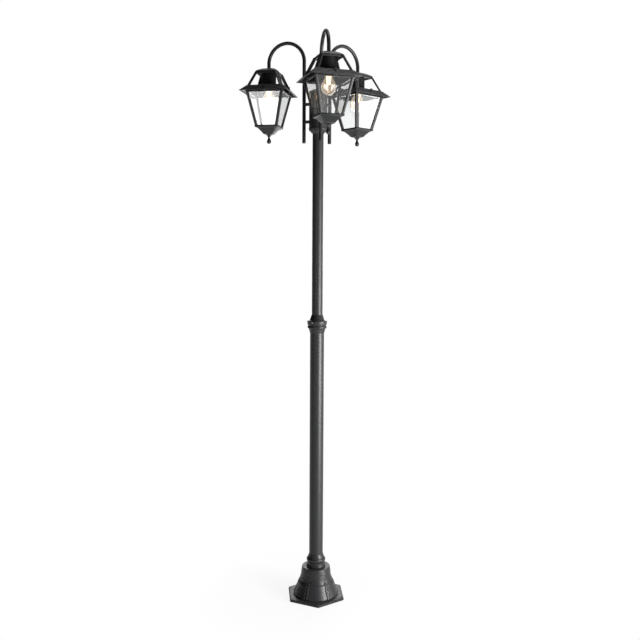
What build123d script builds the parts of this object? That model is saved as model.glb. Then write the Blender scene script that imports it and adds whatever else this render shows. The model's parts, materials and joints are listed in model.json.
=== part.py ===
from build123d import *
from math import asin, cos, sin, radians, sqrt
import os

# Triple head lamp post. Millimetres, +Z up.
# Origin: centre of the foot's underside, on the axis of the post.
# The middle arm points along -Y, the other two are a third of a turn to each side.

# Fits
runFit = 0.05           # radial, pieces that turn or slide on each other
seatFit = 0.05          # radial, pieces that stay in their hole
bodyGap = 0.3           # between faces that move apart

# Foot
plateAcross = 270.0     # over the corners
plateThick = 10.0
plateBevel = 3.0
plateHoleDia = 9.0
plateHoleInset = 13.0   # corner to hole centre
footTurn = -5.6         # plate corner against the middle arm, degrees
bellHeight = 123.0      # above the plate
bellTopDia = 120.0
bellWaistDia = 133.0
bellFootDia = 196.0
bellWall = 6.0
panelProud = 2.0
panelHalfAngle = 25.0
ribProud = 2.6
ribTopWide = 6.5
ribFootWide = 11.0
rimBevel = 1.5
socketDeep = 69.0       # length of tube held in the foot
socketWall = 6.0
socketFloor = 5.0
socketScrewDia = 8.0
socketScrewOut = 4.0    # screw end outside the socket wall
cableHoleDia = 14.0
cableHoleOut = 21.0     # from the axis
footBlock = (34.0, 20.0, 14.0)

# Tubes
lowerDia = 60.0
lowerLength = 1131.0
upperDia = 46.0
upperLength = 878.0
tubeWall = 2.2
seamWide = 2.6
seamDeep = 1.2
seamAngle = 10.0        # seam against the middle arm, degrees

# Collars
footCollarHeight = 56.0
footCollarProud = 11.0
midCollarUp = 47.0      # above the end of the lower tube
midCollarDown = 32.0    # below it
midRingProud = 13.2
collarEdge = 0.6        # thin end of a collar outside its tube
upperInCollar = 45.0    # upper tube below the end of the lower tube
grubDia = 6.0
grubRecess = 1.0
grubTurn = -40.0        # first grub screw against the middle arm, degrees

# Hub
hubDia = 76.0
hubHeight = 140.0
hubWall = 4.0
hubSpigot = 6.0
hubSpigotWall = 3.0
hubCollarHeight = 28.0
hubRimProud = 1.4
hubCapHeight = 16.0
hubBlock = (50.0, 16.0, 12.0)

# Arms
armDia = 15.0
armWall = 1.6
tailOffset = 63.0       # axis of the post to the straight tail
bendRadius = 80.0
archAboveHub = 132.0    # centre of the bend above the drum
tailBelowHub = 63.0     # end of the tail under the drum
legLength = 45.0        # straight end that goes into the crown
stubDia = 13.0
stubWall = 2.0
upperStubHeight = 96.0  # above the bottom of the drum
stubSpacing = 72.0
stubInside = 10.0       # length inside the drum
stubNutAcross = 19.0
stubNutHigh = 6.0

# Crown and roof of a lantern
legInCrown = 28.0
crownHalf = 47.0
crownHeight = 27.0
crownRim = 9.0
crownRecess = 5.0
crownLip = 4.0
strapWide = 17.0
strapThick = 7.0
deckDrop = 80.0         # top of the crown to the deck
deckHalf = 74.0
deckThick = 3.0
eaveHalf = 102.0
skirtHeight = 23.0
eaveThick = 3.0
skirtSteps = 4
stepRise = 2.2
seatRingWide = 4.0
housingDia = 61.0
housingWall = 2.0
nutAcross = 22.0
nutHigh = 8.0

# Lampholder and bulb
holderDia = 40.0
holderHigh = 46.0
holderNeckDia = 18.0
holderNeckHigh = 15.0
holderBevel = 2.0
capInHolder = 29.0
capDia = 26.4
capLength = 25.0
capContactDia = 10.0
bulbDia = 60.0
bulbLength = 104.0      # over cap and glass
bulbWall = 1.0
neckDia = 24.2
neckInCap = 5.0
stemNeck = 13.0          # stem above the ring that holds the filaments
stemDia = 6.0
filamentDia = 2.0
filamentLength = 30.0

# Cage of a lantern
frameTuck = 2.0         # top of the frame above the foot of the skirt
bodyHeight = 132.0      # from the pan to the top frame
cageTopHalf = 79.0
cageFootHalf = 49.0
postWide = 11.5
paneThick = 3.0
paneInset = 2.5
frameHigh = 8.0
frameWide = 12.0
frameOver = 1.0         # frame and pan outside the posts
lugWide = 16.0
lugThick = 4.0
lugEnd = 5.0            # beyond the screw
panHeight = 44.0
panWall = 4.5
finialDrop = 30.0
finialSpigot = 8.0
finialSpigotDia = 6.0
ballDia = 18.5
ballFlat = 2.0          # across the tip of the ball
screwOut = 86.0         # axis of the lantern to the roof screws
screwDia = 4.0
screwEnd = 1.5          # below the lug
bossDia = 13.0
knobDia = 11.0
knobHigh = 8.0
knobSeat = 1.5          # seat of the knob above the slope
knobFlutes = 10
knobFlute = 0.8         # radius
knobRoom = 0.5          # round the knob in its pocket

# How far each lantern is turned on its arm, degrees
leftTurn = 8.0
middleTurn = 7.0
rightTurn = 0.0

# Heights that follow
bellTopZ = plateThick + bellHeight
waistZ = plateThick + 0.66 * bellHeight
socketZ = bellTopZ - socketDeep
socketScrewZ = socketZ + socketDeep / 3
lowerTopZ = socketZ + lowerLength
grubZ = lowerTopZ + 0.3 * midCollarUp
upperFootZ = lowerTopZ - upperInCollar
hubZ = upperFootZ + upperLength
hubTopZ = hubZ + hubHeight
stubHeights = [hubZ + upperStubHeight - stubSpacing, hubZ + upperStubHeight]
archZ = hubTopZ + archAboveHub
tailZ = hubZ - tailBelowHub
legEndZ = archZ - legLength
crownZ = legEndZ + legInCrown
crownFootZ = crownZ - crownHeight
crownSeatZ = crownFootZ + crownRecess
nutZ = crownSeatZ - nutHigh
holderMouthZ = nutZ - holderNeckHigh - holderHigh
capTopZ = holderMouthZ + capInHolder
bulbZ = capTopZ - bulbLength
glassTopZ = capTopZ - capLength + neckInCap
ringZ = glassTopZ - stemNeck
deckZ = crownZ - deckDrop
eaveZ = deckZ - skirtHeight
frameTopZ = eaveZ + frameTuck
frameZ = frameTopZ - frameHigh
panZ = frameZ - bodyHeight
finialZ = panZ - panHeight
knobZ = deckZ - (screwOut - deckHalf) * skirtHeight / (eaveHalf - deckHalf) + knobSeat

# Radii that follow
legR = tailOffset + 2 * bendRadius
lowerR = lowerDia / 2
upperR = upperDia / 2
hubR = hubDia / 2
armR = armDia / 2
hubInner = hubR - hubWall
ringR = neckDia / 2 - bulbWall - filamentDia
hookR = 0.65 * ringR

heads = {"left": (-120.0, leftTurn), "middle": (0.0, middleTurn), "right": (120.0, rightTurn)}


# Upright cylinder between two heights
def cyl(radius, low, high, x=0.0):
    return Pos(x, 0, low) * extrude(Circle(radius), high - low)


def ring(outer, inner, low, high):
    return cyl(outer, low, high) - cyl(inner, low - 1, high + 1)


# Cylinder along X at one height
def lying(radius, x0, x1, z):
    return Pos(x0, 0, z) * Rot(0, 90, 0) * extrude(Circle(radius), x1 - x0)


def block(x0, x1, y0, y1, z0, z1):
    return Pos((x0 + x1) / 2, (y0 + y1) / 2, (z0 + z1) / 2) * Box(x1 - x0, y1 - y0, z1 - z0)


# Solid turned about the Z axis from edges in radius and height
def spun(*edges):
    return revolve(Plane.XZ * make_face(edges), Axis.Z)


# The same from points. A point of four numbers ends an arc: its end, then its middle.
def turned(*points):
    edges = []
    last = points[-1][:2]
    for p in points:
        if len(p) == 4:
            edges.append(ThreePointArc(last, p[2:], p[:2]))
        elif p[:2] != last:
            edges.append(Line(last, p[:2]))
        last = p[:2]
    return spun(*edges)


# Solid with a square section, from pairs of height and half side
def squares(*levels):
    return loft([Pos(0, 0, z) * Rectangle(2 * half, 2 * half) for z, half in levels], ruled=True)


# Six-sided prism by its size over the flats
def hexagon(across, low, high):
    return Pos(0, 0, low) * extrude(RegularPolygon(across / 2, 6, major_radius=False), high - low)


# Point halfway along the side of a round dome: its radius and its height over the rim
def domeMid(radius, rise):
    ball = (radius ** 2 + rise ** 2) / (2 * rise)
    half = asin(radius / ball) / 2
    return ball * sin(half), rise - ball * (1 - cos(half))


# Turns what was built along +X to an angle from the middle arm
def along(angle, solid):
    return Rot(0, 0, angle - 90.0) * solid


# One solid out of the result of a fuse or a cut
def whole(shape):
    return shape.solids()[0]


def save(name, *solids):
    shape = solids[0] if len(solids) == 1 else Compound(children=list(solids))
    shape.label = name
    export_step(shape, "parts/" + name + ".step")


# Side of the bell: share of its drop, share of its growth
flare = [(0.0, 0.0), (0.12, 0.05), (0.22, 0.14), (0.31, 0.285), (0.5, 0.46), (0.63, 0.6), (0.8, 0.78),
         (1.0, 1.0)]


def flareLine(extra):
    grow = (bellFootDia - bellWaistDia) / 2
    drop = waistZ - plateThick
    return [(bellWaistDia / 2 + extra + grow * out, waistZ - drop * down) for down, out in flare]


def bellSolid(extra):
    line = flareLine(extra)
    low, high = (0, plateThick), (0, waistZ)
    return spun(Spline(*line), Line(line[-1], low), Line(low, high), Line(high, line[0]))


# Raised layer on the side of the bell, inside an outline with an arched top
def raised(extra, topHalf, footHalf, shoulderZ, archTopZ):
    corners = [(-topHalf, shoulderZ), (-footHalf, plateThick), (footHalf, plateThick), (topHalf, shoulderZ)]
    sides = [Line(a, b) for a, b in zip(corners, corners[1:])]
    outline = make_face(sides + [ThreePointArc(corners[-1], (0, archTopZ), corners[0])])
    return bellSolid(extra) & extrude(Plane.YZ * outline, plateAcross)


def makeFoot():
    plate = Rot(0, 0, 30) * extrude(RegularPolygon(plateAcross / 2, 6), plateThick)
    plate = chamfer(plate.edges().group_by(Axis.Z)[-1], plateBevel)
    topR, waistR = bellTopDia / 2, bellWaistDia / 2
    drum = turned((0, waistZ), (waistR, waistZ), (topR, bellTopZ - rimBevel), (topR - rimBevel, bellTopZ),
                  (0, bellTopZ))
    foot = plate + bellSolid(0) + drum
    edge = sin(radians(panelHalfAngle))
    panel = raised(panelProud, waistR * edge, bellFootDia / 2 * edge, waistZ - 9, waistZ - 1)
    rib = raised(ribProud, ribTopWide / 2, ribFootWide / 2, waistZ - 14, waistZ - 11)
    for i in range(6):
        foot = foot + Rot(0, 0, 60 * i - 90) * panel + Rot(0, 0, 60 * i - 60) * rib
    # hollow under the bell, then the socket for the tube
    inside = flareLine(-bellWall)
    roof, roomR = bellTopZ - 2.2 * bellWall, topR - bellWall
    low = (inside[-1][0], -1)
    foot = foot - spun(Line((0, roof), (roomR, roof)), Line((roomR, roof), inside[0]), Spline(*inside),
                       Line(inside[-1], low), Line(low, (0, -1)), Line((0, -1), (0, roof)))
    foot = foot + cyl(lowerR + seatFit + socketWall, socketZ - socketFloor, bellTopZ - rimBevel)
    foot = foot - cyl(lowerR + seatFit, socketZ, bellTopZ + 1)
    foot = foot - cyl(cableHoleDia / 2, socketZ - socketFloor - 1, socketZ + 1, x=cableHoleOut)
    screw = lying(socketScrewDia / 2 + seatFit, lowerR - 1, lowerR + 2 * socketWall, socketScrewZ)
    hole = cyl(plateHoleDia / 2, -1, plateThick + 1, x=plateAcross / 2 - plateHoleInset)
    for i in range(3):
        foot = foot - along(60 + 120 * i, screw) - along(60 + 120 * i, hole)
    return Rot(0, 0, footTurn) * whole(foot)


# Headless screw along X with a six-sided socket in its outer end
def headless(dia, x0, x1, z):
    socket = Pos(x1 - dia / 2, 0, z) * Rot(0, 90, 0) * hexagon(dia / 2, 0, dia)
    return whole(lying(dia / 2, x0, x1, z) - socket)


def makeFootScrews():
    end = lowerR + seatFit + socketWall + socketScrewOut
    screw = headless(socketScrewDia, lowerR, end, socketScrewZ)
    return [along(footTurn + 60 + 120 * i, screw) for i in range(3)]


# Bar of terminals: wire holes along Y, a screw well from the top or from below
def terminals(size, low, ways, wellUp):
    long, deep, high = size
    bar = block(-long / 2, long / 2, -deep / 2, deep / 2, low, low + high)
    bar = chamfer(bar.edges().filter_by(Axis.Z), 1)
    pitch, mid = long / ways, low + high / 2
    for i in range(ways):
        x = (i - (ways - 1) / 2) * pitch
        bar = bar - Pos(x, -deep, mid) * Rot(-90, 0, 0) * extrude(Circle(pitch / 4), 2 * deep)
        bar = bar - (cyl(pitch / 5, mid, mid + high, x=x) if wellUp else cyl(pitch / 5, mid - high, mid, x=x))
    return whole(bar)


def makeFootBlock():
    return Rot(0, 0, footTurn) * terminals(footBlock, socketZ - socketFloor - footBlock[2], 3, False)


def makeFootCollar():
    r, z, p, h = lowerR, bellTopZ, footCollarProud, footCollarHeight
    return turned((r + seatFit, z), (r + 0.92 * p, z), (r + 0.9 * p, z + 0.15 * h, r + p, z + 0.075 * h),
                  (r + 0.68 * p, z + 0.19 * h), (r + 0.68 * p, z + 0.39 * h), (r + 0.92 * p, z + 0.44 * h),
                  (r + 0.92 * p, z + 0.66 * h, r + p, z + 0.55 * h),
                  (r + 0.3 * p, z + 0.86 * h, r + 0.5 * p, z + 0.76 * h),
                  (r + 0.12 * p, z + h), (r + seatFit, z + h))


def makeMidCollar():
    r, z, p, up, down = lowerR, lowerTopZ, midRingProud, midCollarUp, midCollarDown
    body = turned((r + seatFit, z - down), (r + collarEdge, z - down), (r + 0.42 * p, z - 0.38 * down),
                  (r + 0.72 * p, z - 0.36 * down),
                  (r + 0.74 * p, z - 0.02 * down, r + 0.84 * p, z - 0.19 * down),
                  (r + 0.66 * p, z), (r + 0.66 * p, z + 0.04 * up), (r + 0.78 * p, z + 0.07 * up),
                  (r + 0.97 * p, z + 0.43 * up, r + 0.91 * p, z + 0.26 * up), (r + 0.25 * p, z + 0.5 * up),
                  (r + 0.1 * p, z + 0.53 * up), (upperR + collarEdge, z + up), (upperR + seatFit, z + up),
                  (upperR + seatFit, z), (r + seatFit, z))
    for i in range(3):
        body = body - along(grubTurn + 120 * i, lying(grubDia / 2 + seatFit, upperR - 1, r + 2 * p, grubZ))
    return whole(body)


def makeGrubs():
    screw = headless(grubDia, upperR, lowerR + 0.97 * midRingProud - grubRecess, grubZ)
    return [along(grubTurn + 120 * i, screw) for i in range(3)]


def makeUpperTube():
    tube = ring(upperR, upperR - tubeWall, upperFootZ, hubZ)
    low, high = lowerTopZ + midCollarUp, hubZ - hubCollarHeight
    seam = block(upperR - seamDeep, upperR + 1, -seamWide / 2, seamWide / 2, low, high)
    return whole(tube - along(seamAngle, seam))


def makeHubCollar():
    z, h, rim, spigot = hubZ, hubCollarHeight, hubR + hubRimProud, hubInner - hubSpigotWall
    return turned((upperR + seatFit, z - h), (upperR + collarEdge, z - h), (hubR, z - 0.5 * h),
                  (hubR, z - 0.46 * h), (hubR, z - 0.04 * h, rim, z - 0.25 * h), (hubR, z),
                  (hubInner - seatFit, z), (hubInner - seatFit, z + hubSpigot), (spigot, z + hubSpigot),
                  (spigot, z), (upperR + seatFit, z))


def makeHubShell():
    shell = ring(hubR, hubInner, hubZ, hubTopZ)
    for angle, turn in heads.values():
        for z in stubHeights:
            shell = shell - along(angle, lying(stubDia / 2 + seatFit, hubInner / 2, 2 * hubR, z))
    return whole(shell)


def makeHubCap():
    z, rim, spigot = hubTopZ, 0.2 * hubCapHeight, hubInner - hubSpigotWall
    roof = hubCapHeight - hubSpigotWall
    outR, outH = domeMid(hubR, hubCapHeight - rim)
    inR, inH = domeMid(spigot, roof)
    return turned((0, z + hubCapHeight), (hubR, z + rim, outR, z + rim + outH), (hubR, z),
                  (hubInner - seatFit, z), (hubInner - seatFit, z - hubSpigot), (spigot, z - hubSpigot),
                  (spigot, z), (0, z + roof, inR, z + inH))


# Solid along the bent line of an arm
def armSolid(radius):
    tailTop, legTop = (tailOffset, 0, archZ), (legR, 0, archZ)
    bend = ThreePointArc(tailTop, (tailOffset + bendRadius, 0, archZ + bendRadius), legTop)
    path = Line((tailOffset, 0, tailZ), tailTop) + bend + Line(legTop, (legR, 0, legEndZ))
    return sweep(Pos(tailOffset, 0, tailZ) * Circle(radius), path=path)


def makeArm(angle):
    return along(angle, whole(armSolid(armR) - armSolid(armR - armWall)))


# Two stubs from inside the drum to the tail, with ends that fit round the tail
def makeStubs(angle):
    start = hubInner - stubInside
    tail = cyl(armR, tailZ, archZ, x=tailOffset)
    found = []
    for z in stubHeights:
        stub = lying(stubDia / 2, start, tailOffset, z)
        stub = stub - lying(stubDia / 2 - stubWall, start - 1, tailOffset + 1, z) - tail
        found.append(along(angle, whole(stub)))
    return found


# Nuts on the stubs, their corners against the round wall of the drum
def makeStubNuts(angle):
    face = sqrt(hubInner ** 2 - (stubNutAcross / sqrt(3)) ** 2) - seatFit
    found = []
    for z in stubHeights:
        nut = Pos(face - stubNutHigh, 0, z) * Rot(0, 90, 0) * hexagon(stubNutAcross, 0, stubNutHigh)
        found.append(along(angle, whole(nut - lying(stubDia / 2 + seatFit, 0, hubR, z))))
    return found


# Lantern pieces are built on the Z axis and put on their arm with this
def placed(head, solid):
    angle, turn = heads[head]
    return along(angle, Pos(legR, 0, 0) * Rot(0, 0, turn) * solid)


# Stepped slope of the roof, as pairs of height and half side
def skirtLevels():
    run = (eaveHalf - deckHalf) / skirtSteps
    fall = (skirtHeight - stepRise * (skirtSteps - 1)) / skirtSteps
    levels = []
    for i in range(skirtSteps):
        z, half = deckZ - i * (fall + stepRise), deckHalf + i * run
        levels += [(z, half), (z - fall, half + run)]
    levels[-1] = (eaveZ, eaveHalf)
    return levels + [(eaveZ - eaveThick, eaveHalf)]


# Height of the plain slope under the steps
def slopeZ(half):
    return deckZ - (half - deckHalf) * skirtHeight / (eaveHalf - deckHalf)


def makeRoof():
    rimZ, dome = crownFootZ + crownRim, crownHeight - crownRim
    roof = squares((crownFootZ, crownHalf), (rimZ, crownHalf), (rimZ + 0.22 * dome, 0.86 * crownHalf),
                   (rimZ + 0.55 * dome, 0.6 * crownHalf), (rimZ + 0.85 * dome, 0.34 * crownHalf),
                   (crownZ, 0.26 * crownHalf))
    roof = roof - squares((crownFootZ - 1, crownHalf - crownLip), (crownSeatZ, crownHalf - crownLip))
    inner = squares((eaveZ - eaveThick, eaveHalf - eaveThick), (deckZ - deckThick, deckHalf - deckThick))
    mouth = squares((eaveZ - eaveThick - 1, eaveHalf - eaveThick), (eaveZ - eaveThick, eaveHalf - eaveThick))
    roof = roof + (squares(*skirtLevels()) - inner - mouth)
    # ring that the glass body closes against
    seatZ, seatHalf = frameTopZ + bodyGap, cageTopHalf + frameOver
    ringTopZ = slopeZ(seatHalf) - eaveThick / 2
    mouthHalf = seatHalf - seatRingWide
    seat = squares((seatZ, seatHalf), (ringTopZ, seatHalf))
    roof = roof + (seat - squares((seatZ - 1, mouthHalf), (ringTopZ + 1, mouthHalf)))
    # straps along the corner lines, from the crown to the deck
    topR, footR = (crownHalf - 2) * sqrt(2), (deckHalf - 1.5) * sqrt(2)
    line = Polyline((topR, rimZ - 1), (footR, deckZ - 1), (footR - strapThick - 1, deckZ - 1),
                    (topR - strapThick - 1, rimZ - 1), close=True)
    strap = extrude(Plane.XZ * make_face(line), strapWide / 2, both=True)
    for i in range(4):
        roof = roof + Rot(0, 0, 45 + 90 * i) * strap
    # bosses for the roof screws, each with a pocket for its knob
    for i in range(4):
        roof = roof + Rot(0, 0, 90 * i) * cyl(bossDia / 2, seatZ, knobZ, x=screwOut)
    pocket = cyl(screwDia / 2 + seatFit, frameZ, knobZ + 1, x=screwOut)
    pocket = pocket + cyl(knobDia / 2 + knobRoom, knobZ, knobZ + 2 * knobHigh, x=screwOut)
    for i in range(4):
        roof = roof - Rot(0, 0, 90 * i) * pocket
    roof = roof - cyl(armR + runFit, crownFootZ - 1, crownZ + 1)
    return whole(roof - cyl(holderDia / 2 + seatFit, deckZ - deckThick - 1, deckZ + 1))


def makeRoofScrews():
    knob = cyl(knobDia / 2, knobZ, knobZ + knobHigh)
    knob = chamfer(knob.edges().group_by(Axis.Z)[-1], knobFlute)
    flute = cyl(knobFlute, knobZ - 1, knobZ + knobHigh + 1, x=knobDia / 2)
    for i in range(knobFlutes):
        knob = knob - Rot(0, 0, 360 / knobFlutes * i) * flute
    screw = whole(knob + cyl(screwDia / 2, frameTopZ - lugThick - screwEnd, knobZ + 1))
    return [Rot(0, 0, 90 * i) * Pos(screwOut, 0, 0) * screw for i in range(4)]


def makeArmNut():
    return whole(hexagon(nutAcross, nutZ, crownSeatZ) - cyl(armR + runFit, nutZ - 1, crownSeatZ + 1))


def makeHousing():
    return ring(housingDia / 2, housingDia / 2 - housingWall, deckZ, crownSeatZ)


def makeHolder():
    r, bore, b, neck = holderDia / 2, capDia / 2 + runFit, holderBevel, holderNeckDia / 2
    low, top, floor = holderMouthZ, holderMouthZ + holderHigh, capTopZ + bodyGap
    return turned((bore, low), (r - b, low), (r, low + b), (r, top - b), (r - b, top), (neck, top),
                  (neck, nutZ), (0, nutZ), (0, floor), (bore, floor))


# Side of the bulb: share of the length of the glass, share of its width
bulbShape = [(0.0, 0.0), (0.03, 0.38), (0.11, 0.71), (0.225, 0.925), (0.365, 1.0), (0.49, 0.94),
             (0.62, 0.78), (0.745, 0.585), (0.86, 0.45)]


def bulbSolid(inset):
    wide, neck, low = bulbDia / 2 - inset, neckDia / 2 - inset, bulbZ + inset
    line = [(wide * out, low + (glassTopZ - low) * up) for up, out in bulbShape]
    neckEnd, top, mid = (neck, glassTopZ - neckInCap), (neck, glassTopZ), (0, glassTopZ)
    return spun(Spline(*line, neckEnd, tangents=[(1, 0), (0, 1)]), Line(neckEnd, top), Line(top, mid),
                Line(mid, line[0]))


def makeBulbGlass():
    mouth = cyl(neckDia / 2 - bulbWall, glassTopZ - neckInCap, glassTopZ + 1)
    return whole(bulbSolid(0) - bulbSolid(bulbWall) - mouth)


def makeBulbCap():
    low, r, contact, neck = capTopZ - capLength, capDia / 2, capContactDia / 2, neckDia / 2 + seatFit
    return turned((neck, low), (r - 0.4, low), (r, low + 1), (r, capTopZ - 0.28 * capLength),
                  (r - 2, capTopZ - 0.18 * capLength), (contact + 1, capTopZ - 0.12 * capLength),
                  (contact, capTopZ), (0, capTopZ), (0, glassTopZ), (neck, glassTopZ))


# Glass stem with a ring at each end of the filaments
def makeStem():
    r, flange, low = stemDia / 2, neckDia / 2 - bulbWall - seatFit, ringZ - filamentLength
    return turned((0, glassTopZ), (flange, glassTopZ), (flange, glassTopZ - 1.5), (r, glassTopZ - 5),
                  (r, ringZ + 1), (ringR + 1, ringZ + 1), (ringR + 1, ringZ), (r, ringZ), (0.7 * r, low),
                  (hookR + 1, low), (hookR + 1, low - 1), (0, low - 1))


def makeFilaments():
    high, low = Vector(ringR, 0, ringZ), Vector(hookR, 0, ringZ - filamentLength)
    lean = (high - low) * 0.1
    path = Line(high + lean, low - lean)
    stick = sweep(Plane(origin=high + lean, z_dir=low - high) * Circle(filamentDia / 2), path=path)
    stick = whole(stick & cyl(2 * ringR, ringZ - filamentLength, ringZ))
    return [Rot(0, 0, 45 + 90 * i) * stick for i in range(4)]


def makeCage():
    foot, top, half = cageFootHalf, cageTopHalf, postWide / 2
    post = loft([Pos(foot - half, foot - half, panZ - 0.5) * Rectangle(postWide, postWide),
                 Pos(top - half, top - half, frameZ) * Rectangle(postWide, postWide)], ruled=True)
    z, h, c = panZ, panHeight, cageFootHalf + frameOver
    cage = squares((z, c), (z - 0.17 * h, c), (z - 0.22 * h, 0.86 * c), (z - 0.25 * h, 0.84 * c),
                   (z - 0.28 * h, 0.76 * c), (z - 0.46 * h, 0.62 * c), (z - 0.49 * h, 0.59 * c),
                   (z - 0.68 * h, 0.45 * c), (z - 0.74 * h, 0.43 * c), (z - 0.78 * h, 0.34 * c),
                   (z - 0.84 * h, 0.2 * c), (z - 0.92 * h, 0.13 * c), (z - h, 0.11 * c))
    room = cageFootHalf - paneInset - paneThick - 1
    cage = cage - squares((z + 1, room), (z - 0.06 * h, room), (z - 0.15 * h, 0.78 * c - panWall),
                          (z - 0.46 * h, 0.58 * c - panWall), (z - 0.62 * h, 0.46 * c - panWall))
    cage = cage - cyl(finialSpigotDia / 2 + seatFit, finialZ - 1, finialZ + finialSpigot)
    for i in range(4):
        cage = cage + Rot(0, 0, 90 * i) * post
    return whole(cage)


def makeTopFrame():
    half = cageTopHalf + frameOver
    frame = squares((frameZ, half), (frameTopZ, half))
    frame = frame - squares((frameZ - 1, half - frameWide), (frameTopZ + 1, half - frameWide))
    lug = block(half - 2, screwOut + lugEnd, -lugWide / 2, lugWide / 2, frameTopZ - lugThick, frameTopZ)
    hole = cyl(screwDia / 2 + runFit, frameZ - 1, frameTopZ + 1, x=screwOut)
    for i in range(4):
        frame = frame + Rot(0, 0, 90 * i) * lug - Rot(0, 0, 90 * i) * hole
    return whole(frame)


def makePanes():
    inset = paneInset + paneThick / 2
    foot = Pos(cageFootHalf - inset, 0, panZ) * Rectangle(paneThick, 2 * (cageFootHalf - postWide))
    top = Pos(cageTopHalf - inset, 0, frameZ) * Rectangle(paneThick, 2 * (cageTopHalf - postWide))
    pane = whole(loft([foot, top], ruled=True))
    return [Rot(0, 0, 90 * i) * pane for i in range(4)]


def makeFinial():
    z, d, r, spigot, flat = finialZ, finialDrop, ballDia / 2, finialSpigotDia / 2, ballFlat / 2
    ballZ, top = z - d + r, z + finialSpigot - 1
    tipZ = ballZ - sqrt(r ** 2 - flat ** 2)
    return turned((0, top), (spigot, top), (spigot, z), (0.58 * r, z), (0.56 * r, z - 0.07 * d),
                  (0.44 * r, z - 0.13 * d), (0.5 * r, z - 0.25 * d), (0.866 * r, ballZ + 0.5 * r),
                  (r, ballZ, 0.96 * r, ballZ + 0.28 * r), (flat, tipZ, 0.8 * r, ballZ - 0.6 * r), (0, tipZ))


os.makedirs("parts", exist_ok=True)

save("foot", makeFoot())
save("foot_socket_screws", *makeFootScrews())
save("foot_terminal_block", makeFootBlock())
save("foot_collar", makeFootCollar())
save("lower_tube", ring(lowerR, lowerR - tubeWall, socketZ, lowerTopZ))
save("mid_collar", makeMidCollar())
save("collar_grub_screws", *makeGrubs())
save("upper_tube", makeUpperTube())
save("hub_collar", makeHubCollar())
save("hub_shell", makeHubShell())
save("hub_cap", makeHubCap())
save("hub_terminal_block", terminals(hubBlock, hubZ, 4, True))

stubs, stubNuts = [], []
for head, (angle, turn) in heads.items():
    save(head + "_arm", makeArm(angle))
    stubs += makeStubs(angle)
    stubNuts += makeStubNuts(angle)
save("arm_stubs", *stubs)
save("arm_stub_nuts", *stubNuts)

lantern = {
    "roof": [makeRoof()],
    "arm_nut": [makeArmNut()],
    "lamp_housing": [makeHousing()],
    "lampholder": [makeHolder()],
    "roof_screws": makeRoofScrews(),
    "bulb_cap": [makeBulbCap()],
    "bulb_glass": [makeBulbGlass()],
    "bulb_stem": [makeStem()],
    "bulb_filaments": makeFilaments(),
    "cage": [makeCage()],
    "top_frame": [makeTopFrame()],
    "panes": makePanes(),
    "finial": [makeFinial()],
}
for head in heads:
    for piece, solids in lantern.items():
        save(head + "_" + piece, *[placed(head, solid) for solid in solids])
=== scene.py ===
import json
from math import cos, pi, radians, sin, sqrt

import bmesh
import bpy
from mathutils import Matrix, Vector


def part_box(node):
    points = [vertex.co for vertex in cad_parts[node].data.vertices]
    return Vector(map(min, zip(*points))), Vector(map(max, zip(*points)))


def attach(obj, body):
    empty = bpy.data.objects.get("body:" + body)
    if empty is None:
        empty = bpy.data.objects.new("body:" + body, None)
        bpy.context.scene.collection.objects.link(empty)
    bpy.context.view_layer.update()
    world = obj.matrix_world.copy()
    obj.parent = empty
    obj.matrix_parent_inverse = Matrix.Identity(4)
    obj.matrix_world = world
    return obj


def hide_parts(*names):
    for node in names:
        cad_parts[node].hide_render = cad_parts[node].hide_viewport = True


# Triple head lamp post: finish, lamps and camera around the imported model.
# Sizes below are in millimetres and become metres where a mesh is made.

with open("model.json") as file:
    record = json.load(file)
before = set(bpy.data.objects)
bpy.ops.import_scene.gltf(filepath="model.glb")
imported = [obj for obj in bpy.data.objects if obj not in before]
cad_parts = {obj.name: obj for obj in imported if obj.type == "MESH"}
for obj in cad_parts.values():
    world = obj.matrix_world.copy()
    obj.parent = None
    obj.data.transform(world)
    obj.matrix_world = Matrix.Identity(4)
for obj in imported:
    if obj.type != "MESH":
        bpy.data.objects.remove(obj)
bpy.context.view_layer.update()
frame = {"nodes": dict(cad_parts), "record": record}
mm = 0.001

# angle: where the arm points, counted from -Y. turn: how far the lantern is swivelled on it.
lanterns = {
    "left": {"angle": -120.0, "turn": 8.0},
    "middle": {"angle": 0.0, "turn": 7.0},
    "right": {"angle": 120.0, "turn": 0.0},
}


def lowOf(node):
    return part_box(node)[0].z / mm


def highOf(node):
    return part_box(node)[1].z / mm


# How far out the lanterns hang, read off the middle bulb
bulbLow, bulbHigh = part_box("middle_bulb_glass")
lampReach = -(bulbLow.y + bulbHigh.y) / 2 / mm


# Adds a node with its options set, and its sockets linked or filled
def addNode(tree, kind, values=None, **settings):
    new = tree.nodes.new(kind)
    for key, value in settings.items():
        setattr(new, key, value)
    for key, value in (values or {}).items():
        socket = new.inputs[key]
        if isinstance(value, bpy.types.NodeSocket):
            tree.links.new(value, socket)
        else:
            socket.default_value = value
    return new


def maths(tree, operation, *values):
    return addNode(tree, "ShaderNodeMath", dict(enumerate(values)), operation=operation).outputs[0]


def plus(tree, a, b):
    return maths(tree, "ADD", a, b)


def minus(tree, a, b):
    return maths(tree, "SUBTRACT", a, b)


def times(tree, a, b):
    return maths(tree, "MULTIPLY", a, b)


def over(tree, a, b):
    return maths(tree, "DIVIDE", a, b)


def startMaterial(name, **sockets):
    material = bpy.data.materials.new(name)
    material.use_nodes = True
    tree = material.node_tree
    shader = tree.nodes["Principled BSDF"]
    for key, value in sockets.items():
        shader.inputs[key.replace("_", " ")].default_value = value
    return material, tree, shader


def objectPoint(tree):
    return addNode(tree, "ShaderNodeTexCoord").outputs["Object"]


def noise(tree, point, scale, detail=2.0, roughness=0.5):
    values = {"Vector": point, "Scale": scale, "Detail": detail, "Roughness": roughness}
    return addNode(tree, "ShaderNodeTexNoise", values).outputs["Fac"]


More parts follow.
